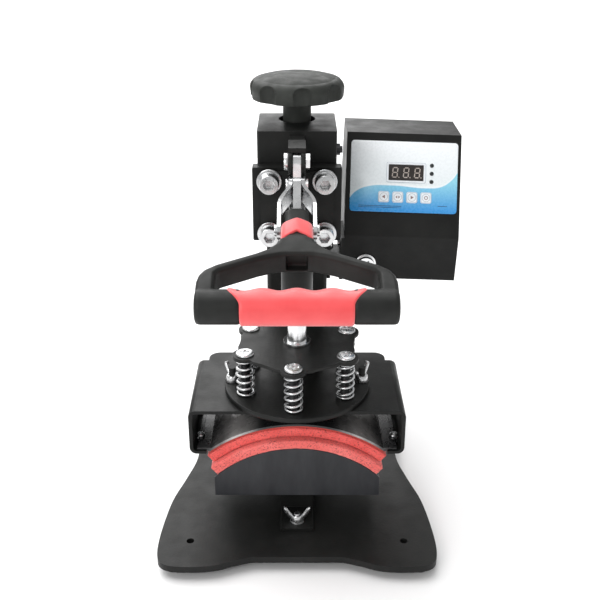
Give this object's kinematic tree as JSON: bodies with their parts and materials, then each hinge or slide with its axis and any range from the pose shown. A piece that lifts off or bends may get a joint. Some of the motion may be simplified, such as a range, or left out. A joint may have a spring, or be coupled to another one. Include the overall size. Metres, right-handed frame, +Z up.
{
  "type": "cap heat press",
  "caption": "Bench press with a toggle lever, spring-loaded curved heating platen, padded cap saddle, height knob and temperature control box.",
  "frame": {"origin": "on the bench, straight below the plunger, at the level of the soles of the rubber feet", "axes": "+Z up along the plunger, +X to the user's right, +Y towards the back, away from the handle"},
  "size_m": [0.2654, 0.3284, 0.371],
  "materials": {
    "black_powder_coat": "satin, finely textured powder coat",
    "black_rubber": "matt",
    "black_moulding": "matt moulded nylon",
    "red_grip_rubber": "satin soft-touch rubber",
    "zinc_plate": "bright zinc plating",
    "chrome_steel": "polished chrome plating",
    "black_steel": "blackened, oiled",
    "bronze": "machined",
    "white_nylon": "natural nylon",
    "red_sponge": "open-pored silicone sponge",
    "red_silicone": "smooth silicone mat",
    "dark_steel": "glossy dark sheet steel",
    "printed_film": "printed polyester film",
    "dark_lens": "smoked display window",
    "lamp_lens": "dark lens, unlit",
    "white_key": "satin",
    "red_rocker": "glossy",
    "green_board": "solder-masked board"
  },
  "bodies": {
    "base": {"base_plate": "black_powder_coat", "rubber_feet": "black_rubber", "foot_screws": "zinc_plate", "column": "black_powder_coat", "column_bolts": "zinc_plate", "lead_nut": "bronze", "saddle_arch": "black_powder_coat", "saddle_end_plates": "black_powder_coat", "saddle_post": "black_powder_coat", "lower_pad": "red_sponge", "saddle_studs": "zinc_plate", "control_bracket": "black_powder_coat", "bracket_bolts": "zinc_plate", "control_case": "black_powder_coat", "control_back_cover": "black_powder_coat", "cover_screws": "zinc_plate", "label_panel": "printed_film", "display_window": "dark_lens", "indicator_lamps": "lamp_lens", "heater_socket": "chrome_steel", "mains_inlet": "black_moulding", "control_electronics": "green_board"},
    "saddle_nut_front": {"saddle_wing_nut_front": "zinc_plate"},
    "saddle_nut_rear": {"saddle_wing_nut_rear": "zinc_plate"},
    "key_1": {"key_1": "white_key"},
    "key_2": {"key_2": "white_key"},
    "key_3": {"key_3": "white_key"},
    "key_4": {"key_4": "white_key"},
    "rocker": {"power_rocker": "red_rocker"},
    "head": {"head_box": "black_powder_coat", "gib_pads": "white_nylon", "gib_screws": "black_steel", "carriage_plate": "black_powder_coat", "clamp_body": "black_powder_coat", "clamp_bolts": "zinc_plate", "guide_bush": "bronze", "lever_pivot_bolt": "zinc_plate"},
    "knob": {"knob": "black_moulding", "lead_screw": "zinc_plate"},
    "lever": {"lever_bar": "zinc_plate", "yoke_plates": "zinc_plate", "lever_pins": "zinc_plate", "handle_frame": "black_moulding", "neck_sleeve": "red_grip_rubber", "hand_grip": "red_grip_rubber"},
    "link": {"toggle_links": "zinc_plate", "plunger_pin": "zinc_plate"},
    "plunger": {"plunger": "chrome_steel", "star_plate": "black_powder_coat", "plunger_nut": "zinc_plate"},
    "platen": {"spring_disc": "black_powder_coat", "spring_screws": "zinc_plate", "pressure_springs": "zinc_plate", "element_bracket": "black_powder_coat", "heater_shell": "dark_steel", "heater_mat": "red_silicone", "upper_pad": "red_sponge", "shell_screws": "zinc_plate"},
    "element_nut_left": {"element_wing_nut_left": "zinc_plate"},
    "element_nut_right": {"element_wing_nut_right": "zinc_plate"}
  },
  "joints": [
    {"name": "knob_turn", "type": "hinge", "parent": "head", "child": "knob", "pos_m": [0, 0.105, 0.36], "axis": [0, 0, 1], "range_deg": [0, 1440.5]},
    {"name": "head_slide", "type": "slide", "parent": "base", "child": "head", "axis": [0, 0, 1], "range_m": [0, 0.012]},
    {"name": "handle_lift", "type": "hinge", "parent": "head", "child": "lever", "pos_m": [0, 0, 0.3228], "axis": [-1, 0, 0], "range_deg": [0, 65]},
    {"name": "link_swing", "type": "hinge", "parent": "lever", "child": "link", "pos_m": [0, 0, 0.2908], "axis": [1, 0, 0], "range_deg": [0, 130.01]},
    {"name": "plunger_slide", "type": "slide", "parent": "head", "child": "plunger", "axis": [0, 0, 1], "range_m": [0, 0.037]},
    {"name": "platen_float", "type": "slide", "parent": "plunger", "child": "platen", "axis": [0, 0, 1], "range_m": [0, 0.008], "stiffness_N_per_m": 65000, "springref_m": -0.0005, "deforming": ["pressure_springs"]},
    {"name": "saddle_nut_front_turn", "type": "hinge", "parent": "base", "child": "saddle_nut_front", "pos_m": [0, -0.048, 0.021], "axis": [0, 0, 1], "continuous": true},
    {"name": "saddle_nut_rear_turn", "type": "hinge", "parent": "base", "child": "saddle_nut_rear", "pos_m": [0, 0.048, 0.021], "axis": [0, 0, 1], "continuous": true},
    {"name": "element_nut_left_turn", "type": "hinge", "parent": "platen", "child": "element_nut_left", "pos_m": [-0.0555, 0, 0.133], "axis": [0, 0, 1], "continuous": true},
    {"name": "element_nut_right_turn", "type": "hinge", "parent": "platen", "child": "element_nut_right", "pos_m": [0.0555, 0, 0.133], "axis": [0, 0, 1], "continuous": true},
    {"name": "key_1_press", "type": "slide", "parent": "base", "child": "key_1", "axis": [-0.0149, 0.904, -0.4272], "range_m": [0, 0.0008], "stiffness_N_per_m": 400, "springref_m": -0.0005},
    {"name": "key_2_press", "type": "slide", "parent": "base", "child": "key_2", "axis": [-0.0149, 0.904, -0.4272], "range_m": [0, 0.0008], "stiffness_N_per_m": 400, "springref_m": -0.0005},
    {"name": "key_3_press", "type": "slide", "parent": "base", "child": "key_3", "axis": [-0.0149, 0.904, -0.4272], "range_m": [0, 0.0008], "stiffness_N_per_m": 400, "springref_m": -0.0005},
    {"name": "key_4_press", "type": "slide", "parent": "base", "child": "key_4", "axis": [-0.0149, 0.904, -0.4272], "range_m": [0, 0.0008], "stiffness_N_per_m": 400, "springref_m": -0.0005},
    {"name": "rocker_tip", "type": "hinge", "parent": "base", "child": "rocker", "pos_m": [0.0949, 0.1746, 0.24989], "axis": [-0.9994, 0, 0.0349], "range_deg": [0, 16]}
  ],
  "couplings": [
    {"joint": "knob_turn", "follows": "head_slide", "rad_per_m": 2094.4},
    {"joint": "link_swing", "follows": "handle_lift", "ratio": 2},
    {"joint": "plunger_slide", "follows": "handle_lift", "m_per_rad": 0.032573}
  ]
}
